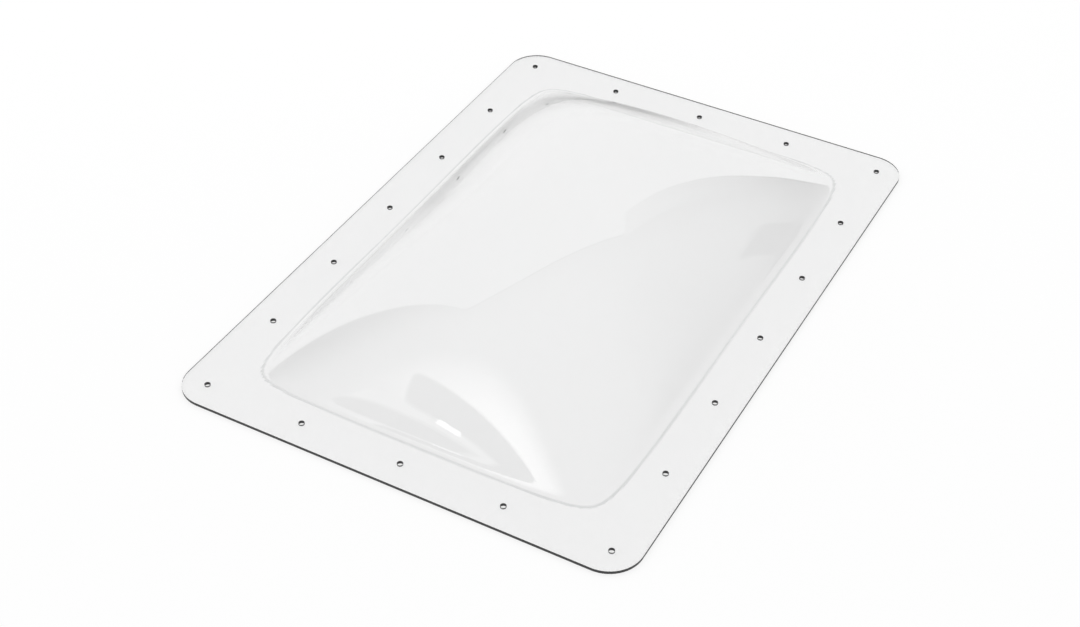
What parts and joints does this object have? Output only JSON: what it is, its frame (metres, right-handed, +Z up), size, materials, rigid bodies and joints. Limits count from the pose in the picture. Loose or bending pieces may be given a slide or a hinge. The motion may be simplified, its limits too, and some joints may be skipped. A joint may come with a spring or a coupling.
{
  "type": "rv skylight",
  "caption": "Clear pillow-shaped plastic dome on a flat flange with rounded corners and a ring of screw holes, made to cover a caravan roof opening and let light in.",
  "frame": {"origin": "middle of the flange's underside, on the roof's surface", "axes": "+Z up out of the roof, +Y along the long side, +X along the short side"},
  "size_m": [0.4572, 0.6604, 0.1072],
  "materials": {
    "clear_sheet": "clear, glossy on both faces"
  },
  "bodies": {
    "root": {"skylight_shell": "clear_sheet"}
  },
  "joints": []
}
